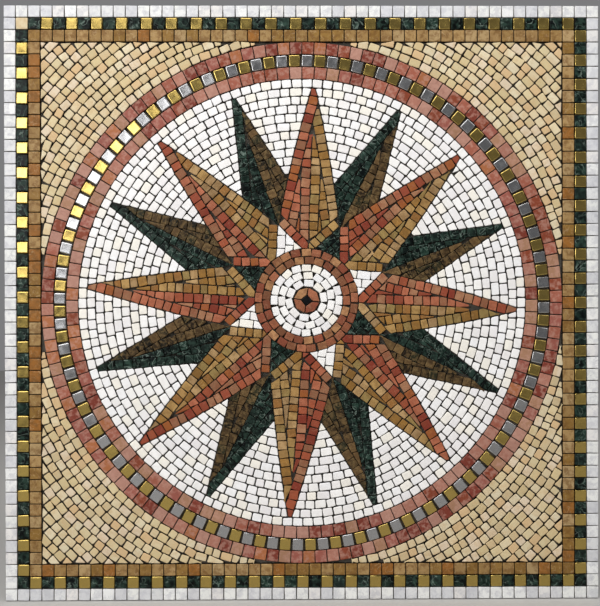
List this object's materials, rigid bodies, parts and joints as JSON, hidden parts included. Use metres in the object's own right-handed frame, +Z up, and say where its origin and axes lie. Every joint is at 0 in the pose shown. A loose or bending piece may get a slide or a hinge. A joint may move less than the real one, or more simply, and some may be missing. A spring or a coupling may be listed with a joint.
{
  "type": "mosaic panel",
  "caption": "Square panel of marble and metal mosaic chips on a netted bed: a many-rayed compass star in a round band, cream corners and a banded square border.",
  "frame": {"origin": "centre of the panel's flat back", "axes": "+X to the right as the face is seen, +Z up the panel, +Y out of the back; the face looks along -Y"},
  "size_m": [0.783, 0.01, 0.783],
  "materials": {
    "white_marble": "cut chips, honed and lightly tumbled",
    "green_marble": "polished dark green marble with pale veins",
    "tan_marble": "honed tan marble, patchy",
    "cream_marble": "split cream marble chips, lightly tumbled",
    "rose_marble": "honed rose marble, mottled",
    "gold_marble": "honed golden brown marble",
    "terracotta_marble": "honed red marble",
    "brown_marble": "polished dark brown marble with tan veins",
    "black_marble": "polished black marble",
    "brass": "brushed brass face with a rounded rim",
    "stainless_steel": "brushed steel face with a rounded rim",
    "adhesive_bed": "grey tile adhesive over a glass-fibre net"
  },
  "bodies": {
    "root": {"adhesive_bed": "adhesive_bed", "brass_and_steel_ring": "brass", "cream_corner_bottom_left": "cream_marble", "cream_corner_bottom_right": "cream_marble", "cream_corner_top_left": "cream_marble", "cream_corner_top_right": "cream_marble", "dark_ray_1_brown": "brown_marble", "dark_ray_1_green": "green_marble", "dark_ray_2_brown": "brown_marble", "dark_ray_2_green": "green_marble", "dark_ray_3_brown": "brown_marble", "dark_ray_3_green": "green_marble", "dark_ray_4_brown": "brown_marble", "dark_ray_4_green": "green_marble", "dark_ray_5_brown": "brown_marble", "dark_ray_5_green": "green_marble", "dark_ray_6_brown": "brown_marble", "dark_ray_6_green": "green_marble", "dark_ray_7_brown": "brown_marble", "dark_ray_7_green": "green_marble", "dark_ray_8_brown": "brown_marble", "dark_ray_8_green": "green_marble", "green_and_brass_border": "green_marble", "hub_black_diamond": "black_marble", "hub_rose_centre": "rose_marble", "hub_rose_ring": "rose_marble", "hub_triangle_1_green": "green_marble", "hub_triangle_2_white": "white_marble", "hub_triangle_3_green": "green_marble", "hub_triangle_4_white": "white_marble", "hub_triangle_5_green": "green_marble", "hub_triangle_6_white": "white_marble", "hub_triangle_7_green": "green_marble", "hub_triangle_8_white": "white_marble", "hub_white_disc": "white_marble", "inner_rose_ring": "rose_marble", "light_ray_1_gold": "gold_marble", "light_ray_1_terracotta": "terracotta_marble", "light_ray_2_gold": "gold_marble", "light_ray_2_terracotta": "terracotta_marble", "light_ray_3_gold": "gold_marble", "light_ray_3_terracotta": "terracotta_marble", "light_ray_4_gold": "gold_marble", "light_ray_4_terracotta": "terracotta_marble", "light_ray_5_gold": "gold_marble", "light_ray_5_terracotta": "terracotta_marble", "light_ray_6_gold": "gold_marble", "light_ray_6_terracotta": "terracotta_marble", "light_ray_7_gold": "gold_marble", "light_ray_7_terracotta": "terracotta_marble", "light_ray_8_gold": "gold_marble", "light_ray_8_terracotta": "terracotta_marble", "outer_rose_ring": "rose_marble", "tan_marble_border": "tan_marble", "white_field": "white_marble", "white_marble_border": "white_marble"}
  },
  "joints": []
}
